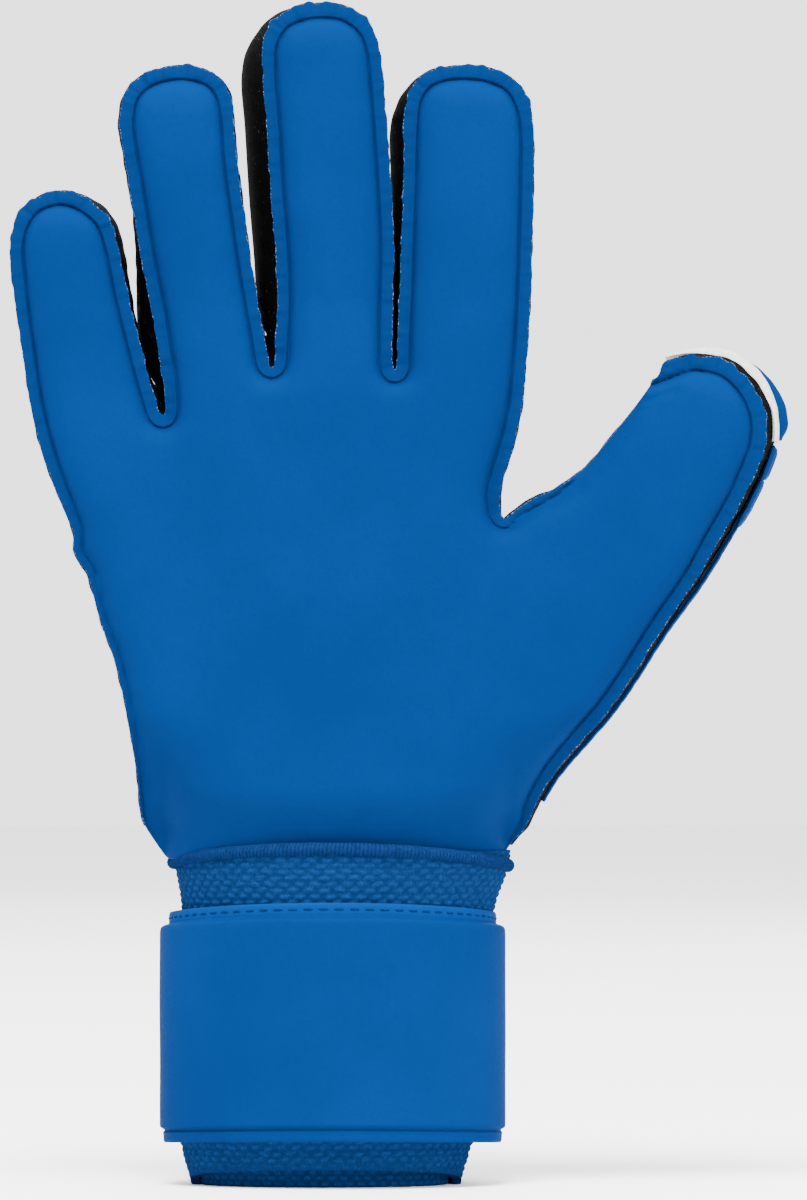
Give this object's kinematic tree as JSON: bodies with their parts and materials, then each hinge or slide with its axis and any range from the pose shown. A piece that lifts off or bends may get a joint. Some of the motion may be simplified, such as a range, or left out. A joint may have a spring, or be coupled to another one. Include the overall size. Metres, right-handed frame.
{
  "type": "goalkeeper glove",
  "caption": "Right-hand goalkeeper glove with a latex palm, gusseted fingers that bend, an elastic wristband and a hook-and-loop wrist strap.",
  "frame": {"origin": "centre of the cuff's opening, on the plane its rim stands on", "axes": "+Z from the cuff to the fingertips, the palm faces -Y, the thumb points to +X"},
  "size_m": [0.1926, 0.0648, 0.2972],
  "materials": {
    "latex_blue": "matte",
    "gusset_black": "matte",
    "backhand_black": "matte",
    "backhand_white": "matte",
    "knit_blue": "matte",
    "hook_black": "matte"
  },
  "bodies": {
    "hand": {"palm": "latex_blue", "backhand": "backhand_black", "fourchette_little_ring": "gusset_black", "fourchette_ring_middle": "gusset_black", "fourchette_middle_index": "gusset_black", "heel_gusset": "gusset_black", "thumb_web_gusset": "gusset_black", "thumb_edge_gusset": "gusset_black", "wristband": "knit_blue", "wristband_seam_roll": "knit_blue", "strap": "latex_blue", "loop_patch": "hook_black"},
    "little_lower": {"little_lower_palm": "latex_blue", "little_lower_back": "backhand_white", "little_lower_gusset_left": "gusset_black", "little_lower_gusset_right": "gusset_black"},
    "little_tip": {"little_tip_palm": "latex_blue", "little_tip_back": "backhand_white", "little_tip_gusset": "gusset_black"},
    "ring_lower": {"ring_lower_palm": "latex_blue", "ring_lower_back": "backhand_white", "ring_lower_gusset_left": "gusset_black", "ring_lower_gusset_right": "gusset_black"},
    "ring_tip": {"ring_tip_palm": "latex_blue", "ring_tip_back": "backhand_white", "ring_tip_gusset": "gusset_black"},
    "middle_lower": {"middle_lower_palm": "latex_blue", "middle_lower_back": "backhand_white", "middle_lower_gusset_left": "gusset_black", "middle_lower_gusset_right": "gusset_black"},
    "middle_tip": {"middle_tip_palm": "latex_blue", "middle_tip_back": "backhand_white", "middle_tip_gusset": "gusset_black"},
    "index_lower": {"index_lower_palm": "latex_blue", "index_lower_back": "backhand_white", "index_lower_gusset_left": "gusset_black", "index_lower_gusset_right": "gusset_black"},
    "index_tip": {"index_tip_palm": "latex_blue", "index_tip_back": "backhand_white", "index_tip_gusset": "gusset_black"},
    "thumb_lower": {"thumb_lower_palm": "latex_blue", "thumb_lower_back": "backhand_white", "thumb_lower_gusset_left": "gusset_black", "thumb_lower_gusset_right": "gusset_black"},
    "thumb_tip": {"thumb_tip_palm": "latex_blue", "thumb_tip_back": "backhand_white", "thumb_tip_gusset": "gusset_black"},
    "strap_end": {"strap_end": "latex_blue", "hook_patch": "hook_black", "pull_tab": "hook_black"}
  },
  "joints": [
    {"name": "little_knuckle", "type": "hinge", "parent": "hand", "child": "little_lower", "pos_m": [-0.06177, -0.01301, 0.20884], "axis": [0.9842, 0, 0.1771], "range_deg": [-8, 60], "stiffness_Nm_per_rad": 0.05},
    {"name": "little_middle", "type": "hinge", "parent": "little_lower", "child": "little_tip", "pos_m": [-0.06531, -0.01301, 0.22853], "axis": [0.9842, 0, 0.1771], "range_deg": [-8, 60], "stiffness_Nm_per_rad": 0.05},
    {"name": "ring_knuckle", "type": "hinge", "parent": "hand", "child": "ring_lower", "pos_m": [-0.03127, -0.01225, 0.22141], "axis": [0.9914, 0, 0.1305], "range_deg": [-8, 60], "stiffness_Nm_per_rad": 0.05},
    {"name": "ring_middle", "type": "hinge", "parent": "ring_lower", "child": "ring_tip", "pos_m": [-0.03493, -0.01225, 0.24917], "axis": [0.9914, 0, 0.1305], "range_deg": [-8, 60], "stiffness_Nm_per_rad": 0.05},
    {"name": "middle_knuckle", "type": "hinge", "parent": "hand", "child": "middle_lower", "pos_m": [0.0001, -0.01225, 0.22149], "axis": [0.9992, 0, 0.0401], "range_deg": [-8, 60], "stiffness_Nm_per_rad": 0.05},
    {"name": "middle_middle", "type": "hinge", "parent": "middle_lower", "child": "middle_tip", "pos_m": [-0.00127, -0.01225, 0.25546], "axis": [0.9992, 0, 0.0401], "range_deg": [-8, 60], "stiffness_Nm_per_rad": 0.05},
    {"name": "index_knuckle", "type": "hinge", "parent": "hand", "child": "index_lower", "pos_m": [0.03289, -0.01231, 0.2205], "axis": [0.9996, 0, -0.0279], "range_deg": [-8, 60], "stiffness_Nm_per_rad": 0.05},
    {"name": "index_middle", "type": "hinge", "parent": "index_lower", "child": "index_tip", "pos_m": [0.03367, -0.01231, 0.24848], "axis": [0.9996, 0, -0.0279], "range_deg": [-8, 60], "stiffness_Nm_per_rad": 0.05},
    {"name": "thumb_knuckle", "type": "hinge", "parent": "hand", "child": "thumb_lower", "pos_m": [0.07891, -0.0153, 0.17095], "axis": [0.829, 0, -0.5592], "range_deg": [-5, 45], "stiffness_Nm_per_rad": 0.05},
    {"name": "thumb_middle", "type": "hinge", "parent": "thumb_lower", "child": "thumb_tip", "pos_m": [0.08953, -0.0153, 0.1867], "axis": [0.829, 0, -0.5592], "range_deg": [-5, 45], "stiffness_Nm_per_rad": 0.05},
    {"name": "strap_peel", "type": "hinge", "parent": "hand", "child": "strap_end", "pos_m": [-0.03876, 0.01271, 0.042], "axis": [0, 0, 1], "range_deg": [0, 100]}
  ],
  "couplings": [
    {"joint": "little_middle", "follows": "little_knuckle", "ratio": 1},
    {"joint": "ring_middle", "follows": "ring_knuckle", "ratio": 1},
    {"joint": "middle_middle", "follows": "middle_knuckle", "ratio": 1},
    {"joint": "index_middle", "follows": "index_knuckle", "ratio": 1},
    {"joint": "thumb_middle", "follows": "thumb_knuckle", "ratio": 1}
  ]
}
